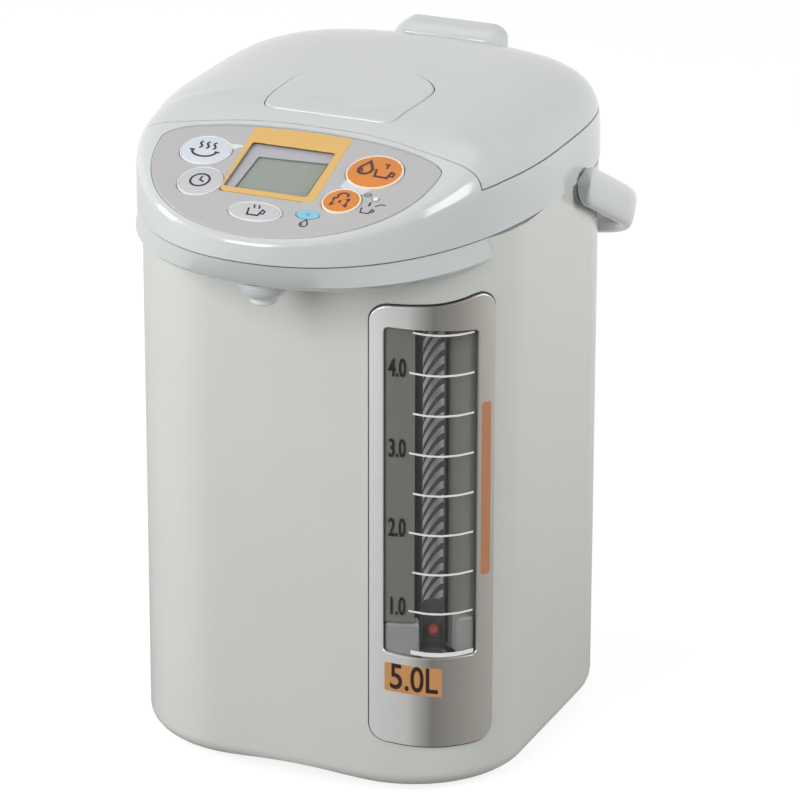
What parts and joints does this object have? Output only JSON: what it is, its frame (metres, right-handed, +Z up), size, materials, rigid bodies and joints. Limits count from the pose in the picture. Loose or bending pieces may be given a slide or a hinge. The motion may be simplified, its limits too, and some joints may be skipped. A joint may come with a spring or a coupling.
{
  "type": "electric thermo pot",
  "caption": "Countertop pot that boils, keeps warm and pumps out water, with a hinged lid, a beak over the spout, a sloping control panel, a corner level gauge and a swinging handle.",
  "frame": {"origin": "on the resting plane, midway across the overall width and overall depth", "axes": "+Z up, +Y from the beak towards the handle's grip, +X to the right seen from the beak"},
  "size_m": [0.224, 0.3052, 0.3463],
  "materials": {
    "case_ivory": "glossy, moulded",
    "cover_ivory": "glossy, moulded",
    "inner_ivory": "satin, moulded",
    "frame_white": "matt, moulded",
    "base_grey": "fine texture",
    "foot_rubber": "matt",
    "screw_steel": "zinc plated",
    "panel_lilac": "satin print under a clear face",
    "clear_face": "clear",
    "lcd_grey": "display glass and holder",
    "board_green": "coated board",
    "board_brown": "coated board and its parts",
    "switch_black": "matt",
    "key_pale": "soft gloss",
    "key_grey": "soft gloss",
    "key_orange": "soft gloss",
    "lamp_blue": "translucent",
    "frame_silver": "silver, fine metallic",
    "backing_grey": "satin grey",
    "strip_white": "white with grey stripes",
    "float_red": "glossy",
    "silicone": "translucent white",
    "tank_steel": "drawn, polished inside",
    "heater_mica": "cast ring heater",
    "sensor_metal": "bare",
    "wool": "felted wool sleeve",
    "pump_white": "moulded",
    "impeller_dark": "moulded, filled with magnet powder",
    "motor_metal": "plated can",
    "rotor_steel": "turned",
    "spring_steel": "wire",
    "inlet_dark": "matt",
    "handle_ivory": "glossy, moulded"
  },
  "bodies": {
    "base": {"outer_case": "case_ivory", "bottom_cover": "base_grey", "chassis": "frame_white", "rubber_feet": "foot_rubber", "bottom_screws": "screw_steel", "beak_base": "cover_ivory", "top_cover": "cover_ivory", "mouth_collar": "inner_ivory", "hinge_bracket": "motor_metal", "hinge_pin": "rotor_steel", "control_panel": "panel_lilac", "display_window": "clear_face", "display_module": "lcd_grey", "control_board": "board_green", "tact_switches": "switch_black", "panel_lamps": "lamp_blue", "gauge_frame": "frame_silver", "gauge_window": "clear_face", "gauge_backing": "backing_grey", "gauge_strip": "strip_white", "gauge_tube": "clear_face", "tube_upper_sleeve": "silicone", "riser_elbow": "silicone", "inner_tank": "tank_steel", "tank_gasket": "silicone", "tank_insulation": "wool", "tank_posts": "motor_metal", "base_heater": "heater_mica", "temperature_sensor": "sensor_metal", "pump_inlet_hose": "silicone", "pump_casing": "pump_white", "pump_motor": "motor_metal", "discharge_pipe": "silicone", "spout_nozzle": "cover_ivory", "spout_tip": "inner_ivory", "power_board": "board_brown", "power_inlet": "inlet_dark", "handle_bearings": "frame_white"},
    "lid": {"lid_shell": "cover_ivory", "lid_inner": "inner_ivory", "lid_gasket": "silicone", "lever_tray": "inner_ivory", "lever_pin": "rotor_steel", "lever_spring": "spring_steel", "latch_springs": "spring_steel", "steam_valve": "frame_white", "hinge_block": "cover_ivory"},
    "lever": {"lid_lever": "cover_ivory"},
    "latch": {"lid_latch": "frame_white"},
    "handle": {"handle": "handle_ivory", "handle_screws": "screw_steel"},
    "float": {"gauge_float": "float_red"},
    "rotor": {"motor_rotor": "rotor_steel"},
    "impeller": {"pump_impeller": "impeller_dark"},
    "ball": {"valve_ball": "tank_steel"},
    "boil_key": {"boil_button": "key_pale"},
    "timer_key": {"timer_button": "key_grey"},
    "keep_warm_key": {"keep_warm_button": "key_grey"},
    "dispense_key": {"dispense_button": "key_orange"},
    "unlock_key": {"unlock_button": "key_orange"}
  },
  "joints": [
    {"name": "lid_hinge", "type": "hinge", "parent": "base", "child": "lid", "pos_m": [0, 0.101, 0.3255], "axis": [-1, 0, 0], "range_deg": [0, 80]},
    {"name": "lever_pivot", "type": "hinge", "parent": "lid", "child": "lever", "pos_m": [0, -0.022, 0.3365], "axis": [1, 0, 0], "range_deg": [0, 12], "stiffness_Nm_per_rad": 0.6, "springref_deg": -5.73},
    {"name": "latch_slide", "type": "slide", "parent": "lid", "child": "latch", "axis": [0, 1, 0], "range_m": [0, 0.004]},
    {"name": "handle_pivot", "type": "hinge", "parent": "base", "child": "handle", "pos_m": [0, 0.0275, 0.2935], "axis": [1, 0, 0], "range_deg": [0, 117]},
    {"name": "boil_press", "type": "slide", "parent": "base", "child": "boil_key", "axis": [0, 0.3177, -0.9482], "range_m": [0, 0.0008], "stiffness_N_per_m": 600, "springref_m": -0.0008},
    {"name": "timer_press", "type": "slide", "parent": "base", "child": "timer_key", "axis": [0, 0.3177, -0.9482], "range_m": [0, 0.0008], "stiffness_N_per_m": 600, "springref_m": -0.0008},
    {"name": "keep_warm_press", "type": "slide", "parent": "base", "child": "keep_warm_key", "axis": [0, 0.3177, -0.9482], "range_m": [0, 0.0008], "stiffness_N_per_m": 600, "springref_m": -0.0008},
    {"name": "dispense_press", "type": "slide", "parent": "base", "child": "dispense_key", "axis": [0, 0.3177, -0.9482], "range_m": [0, 0.0008], "stiffness_N_per_m": 600, "springref_m": -0.0008},
    {"name": "unlock_press", "type": "slide", "parent": "base", "child": "unlock_key", "axis": [0, 0.3177, -0.9482], "range_m": [0, 0.0008], "stiffness_N_per_m": 600, "springref_m": -0.0008},
    {"name": "float_rise", "type": "slide", "parent": "base", "child": "float", "axis": [0, 0, 1], "range_m": [0, 0.16]},
    {"name": "rotor_spin", "type": "hinge", "parent": "base", "child": "rotor", "pos_m": [0.048, -0.046, 0.024], "axis": [0, 0, 1], "continuous": true},
    {"name": "impeller_spin", "type": "hinge", "parent": "base", "child": "impeller", "pos_m": [0.048, -0.046, 0.036], "axis": [0, 0, 1], "continuous": true},
    {"name": "ball_lift", "type": "slide", "parent": "lid", "child": "ball", "axis": [0, 0, 1], "range_m": [0, 0.0012]}
  ],
  "couplings": [
    {"joint": "latch_slide", "follows": "lever_pivot", "m_per_rad": 0.01909},
    {"joint": "impeller_spin", "follows": "rotor_spin", "ratio": 1}
  ]
}
